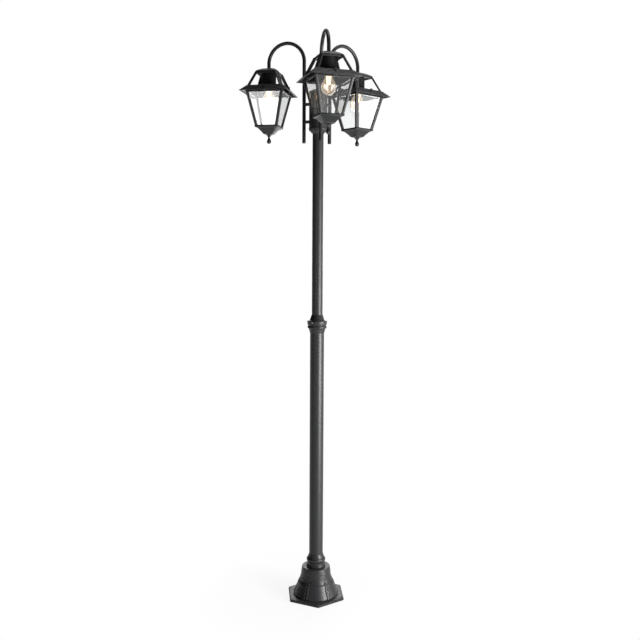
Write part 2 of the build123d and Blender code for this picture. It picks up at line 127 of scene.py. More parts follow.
def spread(tree, value, low, high, fromLow=0.3, fromHigh=0.7):
    values = {"Value": value, "From Min": fromLow, "From Max": fromHigh, "To Min": low, "To Max": high}
    return addNode(tree, "ShaderNodeMapRange", values).outputs["Result"]


def mixColour(tree, share, first, second):
    new = addNode(tree, "ShaderNodeMix", {0: share}, data_type="RGBA")
    for index, value in ((6, first), (7, second)):
        if isinstance(value, bpy.types.NodeSocket):
            tree.links.new(value, new.inputs[index])
        else:
            new.inputs[index].default_value = (*value, 1.0)
    return new.outputs[2]


def mixLevel(tree, share, first, second):
    return addNode(tree, "ShaderNodeMix", {0: share, 2: first, 3: second}).outputs[0]


def feed(tree, shader, colour, roughness):
    tree.links.new(colour, shader.inputs["Base Color"])
    tree.links.new(roughness, shader.inputs["Roughness"])


def addBump(tree, shader, height, strength, distance):
    values = {"Height": height, "Strength": strength, "Distance": distance}
    bump = addNode(tree, "ShaderNodeBump", values)
    tree.links.new(bump.outputs["Normal"], shader.inputs["Normal"])


def scaled(colour, share):
    return tuple(share * c for c in colour)


# 1 along outer edges, 0 on flat faces: where the paint wears thin, and where a highlight is painted along the
#                                       edge
def edgeShare(tree, radius, soft):
    bevel = addNode(tree, "ShaderNodeBevel", {"Radius": radius * mm}, samples=4)
    flat = addNode(tree, "ShaderNodeNewGeometry").outputs["Normal"]
    dot = addNode(tree, "ShaderNodeVectorMath", {0: bevel.outputs[0], 1: flat}, operation="DOT_PRODUCT")
    return spread(tree, dot.outputs["Value"], 1.0, 0.0, 1.0 - soft, 0.998)


powderCoat = {
    # edge colour: worn paint, and a painted highlight along the edges
    "paleEdgeWearAndHighlightColour": (0.075, 0.077, 0.081),
    "edgeRadius": 1.4,
    "dustColour": (0.06, 0.059, 0.056),
    "dustPerMetre": 60.0,
    "mottle": 0.14,              # share of the colour
    "mottlePerMetre": 9.0,
    "speck": 0.35,
    "speckPaler": 1.5,
    "roughness": 0.38,
    "index": 1.36,
    "grainPerMetre": 850.0,
    "grainDepth": 0.12,
    "peelPerMetre": 260.0,
}
paints = {
    # edge: how much of the paler edge colour, worn paint and painted highlight, each paint gets; the heads
    # get most
    "post_paint": {"name": "postPowderCoat", "colour": (0.0135, 0.0138, 0.0148), "edge": 0.45, "dust": 0.12},
    "head_paint": {"name": "headPowderCoat", "colour": (0.0098, 0.0101, 0.0108), "edge": 0.9, "dust": 0.16},
    # housing: its own black paint, made darker still as painted shade from the crown over it; duller only
    # takes its gloss down
    "housing_black": {"name": "housingPaintDarkenedForShade", "colour": (0.006, 0.006, 0.0065), "edge": 0.25, "dust": 0.1,
                      "duller": 0.24},
    "knob_metal": {"name": "knobPaint", "colour": (0.02, 0.02, 0.021), "edge": 0.8, "dust": 0.1},
}


# Fine textured powder coat with paler edges, partly thinner worn paint and partly painted highlight, and a
# little dust on what faces up
def makePowderCoat(name, colour, edge, dust, duller=0.0):
    material, tree, shader = startMaterial(name, IOR=powderCoat["index"] - duller / 2)
    point = objectPoint(tree)
    cloud = noise(tree, point, powderCoat["mottlePerMetre"], 4.0)
    grain = noise(tree, point, powderCoat["grainPerMetre"], 2.0, 0.6)
    darker, lighter = scaled(colour, 1 - powderCoat["mottle"]), scaled(colour, 1 + powderCoat["mottle"])
    base = mixColour(tree, spread(tree, cloud, 0.0, 1.0), darker, lighter)
    speck = spread(tree, grain, 0.0, powderCoat["speck"], 0.55, 0.75)
    base = mixColour(tree, speck, base, scaled(colour, powderCoat["speckPaler"]))
    edges = edgeShare(tree, powderCoat["edgeRadius"], 0.12)
    # paler edges: partly worn paint, partly a painted highlight where edges would catch the light
    edgeWearAndHighlight = times(tree, edges, spread(tree, cloud, 0.4, 1.0))
    base = mixColour(tree, times(tree, edgeWearAndHighlight, edge), base, powderCoat["paleEdgeWearAndHighlightColour"])
    normal = addNode(tree, "ShaderNodeTexCoord").outputs["Normal"]
    facing = addNode(tree, "ShaderNodeSeparateXYZ", {0: normal})
    up = spread(tree, facing.outputs["Z"], 0.0, dust, 0.55, 1.0)
    dusty = noise(tree, point, powderCoat["dustPerMetre"], 5.0)
    up = times(tree, up, spread(tree, dusty, 0.35, 1.0))
    base = mixColour(tree, up, base, powderCoat["dustColour"])
    middle = powderCoat["roughness"] + duller
    rough = spread(tree, grain, middle - 0.05, middle + 0.09)
    feed(tree, shader, base, plus(tree, rough, times(tree, up, 0.6)))
    peel = noise(tree, point, powderCoat["peelPerMetre"], 1.0)
    height = plus(tree, grain, times(tree, peel, 0.8))
    addBump(tree, shader, height, powderCoat["grainDepth"], 0.25 * mm)
    return material


plastic = {
    "index": 1.49,
    "skinPerMetre": 1400.0,
    "patchPerMetre": 35.0,
    "scatterReach": (0.004, 0.003, 0.002),
}


# Moulded plastic with a fine spark-eroded skin
def makePlastic(name, colour, roughness, scatter=0.0):
    material, tree, shader = startMaterial(name, IOR=plastic["index"], Subsurface_Weight=scatter)
    if scatter:
        shader.inputs["Subsurface Radius"].default_value = plastic["scatterReach"]
    point = objectPoint(tree)
    fine = noise(tree, point, plastic["skinPerMetre"], 2.0)
    patch = noise(tree, point, plastic["patchPerMetre"], 3.0)
    base = mixColour(tree, spread(tree, patch, 0.0, 1.0), scaled(colour, 0.85), colour)
    feed(tree, shader, base, spread(tree, patch, roughness - 0.06, roughness + 0.08))
    addBump(tree, shader, fine, 0.15, 0.15 * mm)
    return material


metal = {
    "patchPerMetre": 120.0,
    "stainShade": 0.35,
    "stretch": (0.05, 0.05, 1.0),      # draws the marks out into rings
    "ringDepth": 0.08,
}


# Plain metal, turned or plated: fine rings across the piece's length and a few stains
def makeMetal(name, colour, roughness, ringsPerMetre, stain):
    material, tree, shader = startMaterial(name, Metallic=1.0)
    point = objectPoint(tree)
    patch = noise(tree, point, metal["patchPerMetre"], 4.0)
    stained = scaled(colour, metal["stainShade"])
    base = mixColour(tree, spread(tree, patch, 0.0, stain), colour, stained)
    feed(tree, shader, base, spread(tree, patch, roughness - 0.05, roughness + 0.12))
    stretch = addNode(tree, "ShaderNodeMapping", {"Vector": point, "Scale": metal["stretch"]})
    marks = noise(tree, stretch.outputs[0], ringsPerMetre, 2.0)
    addBump(tree, shader, marks, 0.2, metal["ringDepth"] * mm)
    return material


glass = {
    "paneColour": (0.982, 0.988, 0.985),
    "paneIndex": 1.5,
    "veil": 0.07,
    "veilColour": (0.80, 0.81, 0.80),
    "dirt": 0.015,
    "bulbColour": (1.0, 0.975, 0.94),
    "bulbIndex": 1.45,
    "bulbTint": (0.93, 0.86, 0.74),
    "glowColour": (1.0, 0.76, 0.54),
    "glow": 0.075,
    "stemGlow": 0.5,
}


# Clear pane: a thin veil of dust and water marks on polished float glass
def makePaneGlass(name):
    material, tree, shader = startMaterial(name, IOR=glass["paneIndex"], Transmission_Weight=1.0)
    point = objectPoint(tree)
    marks = noise(tree, point, 45.0, 6.0, 0.65)
    veil = spread(tree, marks, 0.0, glass["veil"], 0.5, 0.85)
    base = mixColour(tree, veil, glass["paneColour"], glass["veilColour"])
    feed(tree, shader, base, spread(tree, marks, 0.0, glass["dirt"], 0.5, 0.8))
    addBump(tree, shader, noise(tree, point, 5.0, 0.0), 0.01, 0.3 * mm)
    return material


# Blown glass with a faint warm swirl, glowing a little from the light inside
def makeBulbGlass(name, glow):
    material, tree, shader = startMaterial(name, IOR=glass["bulbIndex"], Transmission_Weight=1.0)
    shader.inputs["Emission Color"].default_value = (*glass["glowColour"], 1.0)
    shader.inputs["Emission Strength"].default_value = glow
    swirl = noise(tree, objectPoint(tree), 30.0, 3.0)
    tint = mixColour(tree, spread(tree, swirl, 0.0, 0.3), glass["bulbColour"], glass["bulbTint"])
    feed(tree, shader, tint, spread(tree, swirl, 0.0, 0.03))
    addBump(tree, shader, swirl, 0.05, 0.3 * mm)
    return material


filament = {
    "stickColour": (1.0, 0.55, 0.16),
    "chipColour": (1.0, 0.75, 0.4),
    "chipsPerMetre": 700.0,
    "lightColour": (1.0, 0.66, 0.30),
    "strength": 6.0,
}


# Phosphor stick: brighter chips under a yellow coating
def makeFilamentGlow(name):
    material, tree, shader = startMaterial(name, Roughness=0.55)
    shader.inputs["Emission Color"].default_value = (*filament["lightColour"], 1.0)
    chips = noise(tree, objectPoint(tree), filament["chipsPerMetre"], 0.0)
    base = mixColour(tree, spread(tree, chips, 0.0, 1.0), filament["stickColour"], filament["chipColour"])
    tree.links.new(base, shader.inputs["Base Color"])
    strong = filament["strength"]
    tree.links.new(spread(tree, chips, 0.7 * strong, 1.2 * strong), shader.inputs["Emission Strength"])
    return material


finishes = {slotName: makePowderCoat(**paint) for slotName, paint in paints.items()}
finishes.update({
    "holder_plastic": makePlastic("holderPlastic", (0.022, 0.021, 0.02), 0.42),
    "terminal_plastic": makePlastic("terminalPlastic", (0.78, 0.77, 0.72), 0.35, 0.25),
    "screw_steel": makeMetal("screwSteel", (0.60, 0.60, 0.58), 0.32, 2200.0, 0.5),
    "bulb_cap_metal": makeMetal("bulbCapMetal", (0.80, 0.77, 0.70), 0.24, 1800.0, 0.35),
    "pane_glass": makePaneGlass("paneGlass"),
    "bulb_glass": makeBulbGlass("bulbGlass", glass["glow"]),
    "stem_glass": makeBulbGlass("stemGlass", glass["stemGlow"]),
    "filament": makeFilamentGlow("filamentGlow"),
})
print("finishes made:", len(finishes))


# Softens the corners of an outline of (radius, height) points
def rounded(points, radius, steps=3, closed=False):
    found = []
    for i, point in enumerate(points):
        here = Vector(point)
        if not closed and i in (0, len(points) - 1):
            found.append(here)
            continue
        back = Vector(points[i - 1]) - here
        on = Vector(points[(i + 1) % len(points)]) - here
        reach = min(radius, 0.45 * back.length, 0.45 * on.length)
        first, last = here + back.normalized() * reach, here + on.normalized() * reach
        for k in range(steps + 1):
            t = k / steps
            found.append(first * (1 - t) ** 2 + here * 2 * t * (1 - t) + last * t * t)
    return [tuple(p) for p in found]


# Smooth line through the points of a profile
def smoothLine(points, steps=6):
    p = [Vector(q) for q in points]
    p = [2 * p[0] - p[1]] + p + [2 * p[-1] - p[-2]]
    found = []
    for a, b, c, d in zip(p, p[1:], p[2:], p[3:]):
        for k in range(steps):
            t = k / steps
            found.append(0.5 * (2 * b + (c - a) * t + (2 * a - 5 * b + 4 * c - d) * t ** 2
                                + (3 * b - a - 3 * c + d) * t ** 3))
    return [tuple(q) for q in found + [p[-2]]]


# Outline whose distance from the axis is worked out for each angle
def outlineOf(steps, distance, first=0.0):
    def outline(r, z):
        angles = [2 * pi * (k + first) / steps for k in range(steps)]
        reaches = [distance(r, z, a) for a in angles]
        return [(out * cos(a), out * sin(a)) for out, a in zip(reaches, angles)]
    return outline


def circle(steps, first=0.0):
    return outlineOf(steps, lambda r, z, a: r, first)


# Points round a box with round corners
def boxRing(halfX, halfY, corner, steps):
    found = []
    for quarter, (signX, signY) in enumerate(((1, 1), (-1, 1), (-1, -1), (1, -1))):
        for k in range(steps + 1):
            a = radians(90 * (quarter + k / steps))
            found.append((signX * (halfX - corner) + corner * cos(a),
                          signY * (halfY - corner) + corner * sin(a)))
    return found


cornerSteps = 3


def square(corner):
    return lambda r, z: boxRing(r, r, min(corner, 0.6 * r), cornerSteps)


# Round hole that matches square(), point for point
def hole():
    return circle(4 * (cornerSteps + 1), 0.5)


# Skin through rows of (radius, height, outline). A radius of 0 is a pole.
def skin(bm, rows, closed=False):
    rings = []
    for r, z, outline in rows:
        spots = [(0.0, 0.0)] if r < 1e-6 else outline(r, z)
        rings.append([bm.verts.new((x * mm, y * mm, z * mm)) for x, y in spots])
    for a, b in list(zip(rings, rings[1:])) + ([(rings[-1], rings[0])] if closed else []):
        count = max(len(a), len(b))
        for i in range(count):
            j = (i + 1) % count
            if len(a) == 1:
                bm.faces.new((a[0], b[j], b[i]))
            elif len(b) == 1:
                bm.faces.new((a[i], a[j], b[0]))
            else:
                bm.faces.new((a[i], a[j], b[j], b[i]))


# The same outline all along a profile
def sweep(bm, profile, outline, closed=False):
    skin(bm, [(r, z, outline) for r, z in profile], closed)


# Closed block between two rings of points, turned about the Z axis
def block(bm, rings, turn):
    c, s = cos(radians(turn)), sin(radians(turn))
    low, high = ([bm.verts.new(((x * c - y * s) * mm, (x * s + y * c) * mm, z * mm)) for x, y, z in ring]
                 for ring in rings)
    for i in range(len(low)):
        j = (i + 1) % len(low)
        bm.faces.new((low[i], low[j], high[j], high[i]))
    bm.faces.new(low[::-1])
    bm.faces.new(high)


# Bar between two level sections, each (x, y, z, half x, half y)
def bar(bm, first, last, corner, turn=0.0):
    rings = [[(x + a, y + b, z) for a, b in boxRing(halfX, halfY, corner, 2)]
             for x, y, z, halfX, halfY in (first, last)]
    block(bm, rings, turn)


def meshFrom(bm, name, smoothAngle=38.0):
    bmesh.ops.recalc_face_normals(bm, faces=bm.faces)
    mesh = bpy.data.meshes.new(name)
    bm.to_mesh(mesh)
    bm.free()
    shade(mesh, smoothAngle)
    return mesh


def shade(mesh, smoothAngle):
    mesh.shade_smooth()
    mesh.set_sharp_from_angle(angle=radians(smoothAngle))


def newObject(name, data):
    new = bpy.data.objects.new(name, data)
    bpy.context.scene.collection.objects.link(new)
    return new


# Puts a finished mesh on its body, in place of its CAD node
def place(name, mesh, body, slotName, node, matrix=None):
    if matrix is not None:
        mesh.transform(matrix)
    mesh.materials.clear()
    mesh.materials.append(finishes[slotName])
    piece = newObject(name, mesh)
    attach(piece, body)
    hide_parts(node)
    return piece


def turned(degrees):
    return Matrix.Rotation(radians(degrees), 4, "Z")


def armPlace(side):
    return turned(lanterns[side]["angle"] - 90)


# Where a lantern hangs: built on the Z axis, then out on its arm
def hangingPlace(side):
    return armPlace(side) @ Matrix.Translation((lampReach * mm, 0, 0)) @ turned(lanterns[side]["turn"])


# Mesh with its modifiers applied, and the holder taken away
def applied(holder):
    shape = holder.evaluated_get(bpy.context.evaluated_depsgraph_get())
    mesh = bpy.data.meshes.new_from_object(shape)
    bpy.data.objects.remove(holder)
    return mesh


# Mesh with a round hole at each spot
def drilled(mesh, spots, radius, segments):
    drills = bmesh.new()
    for spot in spots:
        bmesh.ops.create_cone(drills, cap_ends=True, segments=segments, radius1=radius * mm,
                              radius2=radius * mm, depth=30 * mm, matrix=spot)
    casting, cutter = newObject("casting", mesh), newObject("cutter", meshFrom(drills, "drills"))
    cut = casting.modifiers.new("holes", "BOOLEAN")
    cut.object, cut.operation, cut.solver = cutter, "DIFFERENCE", "EXACT"
    found = applied(casting)
    bpy.data.objects.remove(cutter)
    return found


kinds = {"length": "NodeSocketFloat", "angle": "NodeSocketFloat", "count": "NodeSocketInt",
         "finish": "NodeSocketMaterial"}
treeInputs = {}


def startTree(name, **inputs):
    tree = bpy.data.node_groups.new(name, "GeometryNodeTree")
    treeInputs[tree.name] = inputs
    for label, kind in inputs.items():
        tree.interface.new_socket(label, in_out="INPUT", socket_type=kinds[kind])
    tree.interface.new_socket("Geometry", in_out="OUTPUT", socket_type="NodeSocketGeometry")
    return tree, tree.nodes.new("NodeGroupInput").outputs


# Instances made real, then the finish, then out
def endTree(tree, geometry, finish):
    real = addNode(tree, "GeometryNodeRealizeInstances", {"Geometry": geometry})
    done = addNode(tree, "GeometryNodeSetMaterial", {"Geometry": real.outputs[0], "Material": finish})
    out = tree.nodes.new("NodeGroupOutput")
    tree.links.new(done.outputs[0], out.inputs[0])


# What a tree makes from its inputs: lengths in millimetres, angles in degrees
def runTree(tree, **values):
    holder = newObject("holder", bpy.data.meshes.new(tree.name + "Seed"))
    modifier = holder.modifiers.new("build", "NODES")
    modifier.node_group = tree
    units = {"length": mm, "angle": radians(1)}
    for item in tree.interface.items_tree:
        if item.name in values:
            value, kind = values[item.name], treeInputs[tree.name][item.name]
            modifier[item.identifier] = value * units[kind] if kind in units else value
    return applied(holder)


def vector(tree, x=0.0, y=0.0, z=0.0):
    return addNode(tree, "ShaderNodeCombineXYZ", {0: x, 1: y, 2: z}).outputs[0]


def shifted(tree, geometry, offset=None, rotation=None):
    values = {"Geometry": geometry}
    if offset is not None:
        values["Translation"] = offset
    if rotation is not None:
        values["Rotation"] = rotation
    return addNode(tree, "GeometryNodeTransform", values).outputs[0]


def joined(tree, *parts):
    join = tree.nodes.new("GeometryNodeJoinGeometry")
    for part in parts:
        tree.links.new(part, join.inputs[0])
    return join.outputs[0]


def setPosition(tree, geometry, position):
    return addNode(tree, "GeometryNodeSetPosition", {"Geometry": geometry, "Position": position}).outputs[0]


# Copies on a circle, each turned to face out
def ringOf(tree, geometry, count, reach, height, firstAngle):
    spots = addNode(tree, "GeometryNodePoints", {"Count": count}).outputs[0]
    index = addNode(tree, "GeometryNodeInputIndex").outputs[0]
    step = over(tree, 2 * pi, count)
    angle = plus(tree, times(tree, index, step), firstAngle)
    x = times(tree, maths(tree, "COSINE", angle), reach)
    y = times(tree, maths(tree, "SINE", angle), reach)
    moved = setPosition(tree, spots, vector(tree, x, y, height))
    values = {"Points": moved, "Instance": geometry, "Rotation": vector(tree, z=angle)}
    return addNode(tree, "GeometryNodeInstanceOnPoints", values).outputs[0]


# Upright cylinder with its middle on the origin
def cylinder(tree, vertices, radius, high, segments=1):
    values = {"Vertices": vertices, "Side Segments": segments, "Radius": radius, "Depth": high}
    return addNode(tree, "GeometryNodeMeshCylinder", values).outputs[0]


# Bent tube: straight tail, half round bend and straight leg, from one length along it
def makeArmTree():
    tree, given = startTree("bentArm", TailOffset="length", BendRadius="length", TailEnd="length",
                            BendHeight="length", LegEnd="length", TubeRadius="length", Finish="finish")
    tail = minus(tree, given["BendHeight"], given["TailEnd"])
    leg = minus(tree, given["BendHeight"], given["LegEnd"])
    bend = times(tree, given["BendRadius"], pi)
    total = plus(tree, plus(tree, tail, leg), bend)
    line = addNode(tree, "GeometryNodeCurvePrimitiveLine", {"End": vector(tree, z=total)})
    fine = addNode(tree, "GeometryNodeResampleCurve", {"Curve": line.outputs[0], "Count": arm["rings"]})
    along = addNode(tree, "GeometryNodeSplineParameter").outputs["Length"]
    pastTail = minus(tree, along, tail)
    angle = over(tree, pastTail, given["BendRadius"])
    angle = maths(tree, "MINIMUM", maths(tree, "MAXIMUM", angle, 0.0), pi)
    pastBend = maths(tree, "MAXIMUM", minus(tree, pastTail, bend), 0.0)
    up = maths(tree, "MINIMUM", along, tail)
    across = minus(tree, 1.0, maths(tree, "COSINE", angle))
    x = plus(tree, given["TailOffset"], times(tree, across, given["BendRadius"]))
    rise = times(tree, maths(tree, "SINE", angle), given["BendRadius"])
    z = plus(tree, plus(tree, given["TailEnd"], up), minus(tree, rise, pastBend))
    path = setPosition(tree, fine.outputs[0], vector(tree, x, 0.0, z))
    values = {"Resolution": 40, "Radius": given["TubeRadius"]}
    section = addNode(tree, "GeometryNodeCurvePrimitiveCircle", values).outputs[0]
    tube = addNode(tree, "GeometryNodeCurveToMesh", {"Curve": path, "Profile Curve": section})
    endTree(tree, tube.outputs[0], given["Finish"])
    return tree


# Headless screws lying on the radii of a circle, each with a six-sided socket
def makeSocketScrewTree():
    tree, given = startTree("socketScrews", Count="count", Radius="length", Length="length",
                            Reach="length", Height="length", FirstAngle="angle", Finish="finish")
    shank = cylinder(tree, 40, given["Radius"], given["Length"])
    key = cylinder(tree, 6, times(tree, given["Radius"], 0.58), given["Radius"])
    key = shifted(tree, key, vector(tree, z=over(tree, given["Length"], 2.0)))
    cut = addNode(tree, "GeometryNodeMeshBoolean", {"Mesh 1": shank}, operation="DIFFERENCE")
    tree.links.new(key, cut.inputs["Mesh 2"])
    lying = shifted(tree, cut.outputs[0], rotation=(0.0, pi / 2, 0.0))
    ring = ringOf(tree, lying, given["Count"], given["Reach"], given["Height"], given["FirstAngle"])
    endTree(tree, ring, given["Finish"])
    return tree


# Thumb screws: fluted knob with a chamfered top over a plain shank
def makeKnobTree():
    tree, given = startTree("thumbScrews", Count="count", Flutes="count", Radius="length", High="length",
                            FluteDepth="length", ShankRadius="length", ShankLength="length", Reach="length",
                            Height="length", Finish="finish")
    body = cylinder(tree, 100, given["Radius"], given["High"], 8)
    position = addNode(tree, "GeometryNodeInputPosition").outputs[0]
    x, y, z = addNode(tree, "ShaderNodeSeparateXYZ", {0: position}).outputs
    wave = maths(tree, "COSINE", times(tree, maths(tree, "ARCTAN2", y, x), given["Flutes"]))
    wave = maths(tree, "POWER", maths(tree, "MULTIPLY_ADD", wave, 0.5, 0.5), 3.0)
    low, high = times(tree, given["High"], 0.36), times(tree, given["High"], 0.5)
    chamfer = spread(tree, z, 0.0, given["FluteDepth"], low, high)
    cut = plus(tree, times(tree, wave, given["FluteDepth"]), chamfer)
    share = minus(tree, 1.0, over(tree, cut, given["Radius"]))
    moved = vector(tree, times(tree, x, share), times(tree, y, share), z)
    fluted = setPosition(tree, body, moved)
    knob = shifted(tree, fluted, vector(tree, z=over(tree, given["High"], 2.0)))
    shank = cylinder(tree, 32, given["ShankRadius"], given["ShankLength"])
    shank = shifted(tree, shank, vector(tree, z=over(tree, given["ShankLength"], -2.0)))
    screws = ringOf(tree, joined(tree, knob, shank), given["Count"], given["Reach"], given["Height"], 0.0)
    endTree(tree, screws, given["Finish"])
    return tree


# Light sticks that lean in from a wide ring to a narrow one
def makeStickTree():
    tree, given = startTree("lightSticks", Count="count", Radius="length", High="length", WideRing="length",
                            NarrowRing="length", Height="length", FirstAngle="angle", Finish="finish")
    fall = minus(tree, given["WideRing"], given["NarrowRing"])
    lean = maths(tree, "ARCTAN2", fall, given["High"])
    stick = cylinder(tree, 16, given["Radius"], given["High"], 12)
    leaning = shifted(tree, stick, rotation=vector(tree, y=lean))
    reach = over(tree, plus(tree, given["WideRing"], given["NarrowRing"]), 2.0)
    ring = ringOf(tree, leaning, given["Count"], reach, given["Height"], given["FirstAngle"])
    endTree(tree, ring, given["Finish"])
    return tree


foot = {
    "turn": -5.6,
    "plateRadius": 135.0,        # to the corners
    "plateThick": 10.0,
    "plateBevel": 3.0,
    "anchors": 3,
    "anchorAngle": -30.0,
    "anchorReach": 122.0,
    "anchorRadius": 4.5,
    "bellTop": 60.0,
    "bellWaist": 66.5,
    "bellFoot": 98.0,
    "waist": 91.18,
    "wall": 6.0,
    "socketRadius": 30.05,
    "socketWall": 6.0,
    "socketLow": 64.0,
    "socketFloor": 5.0,
    "roomTop": 119.8,
    "panelProud": 2.0,
    "panelHalf": 28.1,           # at the waist
    "panelGrow": 13.3,           # wider by this at the plate
    "panelTop": 9.0,             # below the waist
    "panelArch": 8.0,
    "ribProud": 2.6,
    "ribHalf": 3.25,
    "ribGrow": 2.25,
    "ribTop": 14.0,
    "ribArch": 3.0,
    "edgeSoftness": 1.6,
    "groove": 2.6,               # dark line between the bell and the plate
    "grooveDeep": 3.0,
    "scallops": 12,              # in the lower edge of the band round the drum
    "scallopProud": 1.0,
    "scallopRadius": 26.0,
    "scallopLow": 108.0,
}
flareShares = [(0.0, 0.0), (0.12, 0.05), (0.22, 0.14), (0.31, 0.285), (0.5, 0.46), (0.63, 0.6), (0.8, 0.78),
               (1.0, 1.0)]
footSteps = 288
drumRows = 58


def softStep(value, soft):
    t = min(max(value / soft + 0.5, 0.0), 1.0)
    return t * t * (3 - 2 * t)


# Angle from the nearest of some even rays, one of which points at first
def fromRay(angle, first, count):
    step = 2 * pi / count
    return (angle - first + step / 2) % step - step / 2


# Raised panels with arched tops and narrow ribs between them
def bellReach(r, z, angle):
    down = (foot["waist"] - z) / (foot["waist"] - foot["plateThick"])
    soft = foot["edgeSoftness"]
    y = r * sin(fromRay(angle, -pi / 2, 6))
    half = foot["panelHalf"] + foot["panelGrow"] * down
    top = foot["waist"] - foot["panelTop"] + foot["panelArch"] * (1 - (y / foot["panelHalf"]) ** 2)
    panel = softStep(half - soft / 2 - abs(y), soft) * softStep(top - soft / 2 - z, soft)
    y = r * sin(fromRay(angle, -pi / 3, 6))
    half = foot["ribHalf"] + foot["ribGrow"] * down
    top = foot["waist"] - foot["ribTop"] + foot["ribArch"] * (1 - (y / foot["ribHalf"]) ** 2)
    rib = sqrt(max(0.0, 1 - (y / half) ** 2)) * softStep(top - soft / 2 - z, soft)
    return r + max(foot["panelProud"] * panel, foot["ribProud"] * rib)


# Band round the drum. Its lower edge hangs in scallops.
def drumReach(r, z, angle):
    y = r * sin(fromRay(angle, 0.0, foot["scallops"]))
    edge = foot["scallopLow"] + foot["scallopRadius"] - sqrt(foot["scallopRadius"] ** 2 - y * y)
    return r + foot["scallopProud"] * softStep(z - edge, 1.2)


# Six-sided plate, its corners clipped round by a circle
def plateReach(r, z, angle):
    return min(r * cos(pi / 6) / cos(fromRay(angle, 0.0, 6)), r - 1.0)


def flareLine(inset):
    grow, drop = foot["bellFoot"] - foot["bellWaist"], foot["waist"] - foot["plateThick"]
    points = [(foot["bellWaist"] - inset + grow * out, foot["waist"] - drop * down)
              for down, out in flareShares]
    return smoothLine(points, 7)


def makeFoot():
    plain, plateEdge = circle(footSteps), outlineOf(footSteps, plateReach)
    drum, bell = outlineOf(footSteps, drumReach), outlineOf(footSteps, bellReach)
    top, waist, plate = highOf("foot"), foot["waist"], foot["plateThick"]
    bevel, corner = foot["plateBevel"], foot["plateRadius"]
    socket, low = foot["socketRadius"], foot["socketLow"]
    bellTop, bellWaist = foot["bellTop"], foot["bellWaist"]
    rows = [(0.0, low, plain), (socket, low, plain)]
    rim = rounded([(socket, low), (socket, top), (bellTop, top), (bellTop + 0.3, top - 6)], 1.8, 4)
    rows += [(r, z, drum) for r, z in rim[1:-1]]
    first, last = top - 2.2, waist + 1.0
    for i in range(drumRows):
        z = first - (first - last) * i / (drumRows - 1)
        rows.append((bellTop + (bellWaist - bellTop) * (top - z) / (top - waist), z, drum))
    flare = [(r, z) for r, z in flareLine(0.0) if z > plate + foot["groove"]]
    rows += [(r, z, bell) for r, z in flare]
    edge, deep = flare[-1][0], foot["grooveDeep"]
    rows += [(edge - 0.2, plate + foot["groove"] - 0.6, bell), (edge - deep + 0.5, plate + 1.4, plain),
             (edge - deep, plate, plain)]
    rows += [(r, z, plateEdge) for r, z in (
        (corner - bevel * 1.6, plate), (corner - bevel * 1.2, plate - 0.2),
        (corner - 0.5, plate - bevel + 0.4), (corner, plate - bevel), (corner, 1.0), (corner - 1.0, 0.0))]
    inside = flareLine(foot["wall"])
    wall, floor = socket + foot["socketWall"], low - foot["socketFloor"]
    rows += [(r, z, plain) for r, z in [(inside[-1][0], 0.0)] + inside[::-7] + [
        (bellTop - foot["wall"], foot["roomTop"]), (wall, foot["roomTop"]), (wall, floor), (0.0, floor)]]
    bm = bmesh.new()
    skin(bm, rows)
    out = Matrix.Translation((foot["anchorReach"] * mm, 0, plate / 2 * mm))
    spots = [turned(foot["anchorAngle"] + 360 * i / foot["anchors"]) @ out for i in range(foot["anchors"])]
    mesh = drilled(meshFrom(bm, "footCasting"), spots, foot["anchorRadius"], 48)
    shade(mesh, 34.0)
    place("footCasting", mesh, "post", "post_paint", "foot", turned(foot["turn"]))


makeFoot()

screwPlay = 0.05                 # between a thread and its hole
footScrews = {"count": 3, "radius": 4.0, "angle": -35.6}
collarGrubs = {"count": 3, "radius": 3.0, "angle": -130.0, "hole": 3.25, "holeReach": 35.0}


# The screws' own CAD node says how far in and out they go
def screwSpan(node):
    found = [sqrt(v.co.x ** 2 + v.co.y ** 2) / mm for v in frame["nodes"][node].data.vertices]
    return min(found), max(found)


def middleOf(node):
    return (lowOf(node) + highOf(node)) / 2


socketScrewTree = makeSocketScrewTree()
for name, node, screw in (("footScrews", "foot_socket_screws", footScrews),
                          ("collarGrubs", "collar_grub_screws", collarGrubs)):
    inner, outer = screwSpan(node)
    mesh = runTree(socketScrewTree, Count=screw["count"], Radius=screw["radius"] - screwPlay,
                   Length=outer - inner, Reach=(outer + inner) / 2, Height=middleOf(node),
                   FirstAngle=screw["angle"], Finish=finishes["screw_steel"])
    shade(mesh, 30.0)
    place(name, mesh, "post", "screw_steel", node)
print("foot and screws done")


footCollar = {"inner": 30.05, "proud": 11.0, "softness": 2.6}
midCollar = {"lowerInner": 30.05, "upperInner": 23.05, "proud": 13.2, "joint": 1195.0, "softness": 2.2}


def makeFootCollar():
    r, p, z = footCollar["inner"], footCollar["proud"], lowOf("foot_collar")
    h = highOf("foot_collar") - z
    shares = [(0.90, 0.0), (0.99, 0.03), (1.0, 0.075), (0.98, 0.12), (0.90, 0.15), (0.70, 0.18),
              (0.66, 0.24), (0.66, 0.36), (0.72, 0.41), (0.92, 0.44), (0.985, 0.48), (1.0, 0.55),
              (0.98, 0.61), (0.90, 0.66), (0.68, 0.69), (0.50, 0.76), (0.30, 0.86), (0.16, 0.98), (0.12, 1.0)]
    outer = rounded([(r + p * out, z + h * up) for out, up in shares], footCollar["softness"])
    bm = bmesh.new()
    sweep(bm, [(r, z)] + outer + [(r, z + h)], circle(128), closed=True)
    place("footCollarTurned", meshFrom(bm, "footCollarTurned"), "post", "post_paint", "foot_collar")


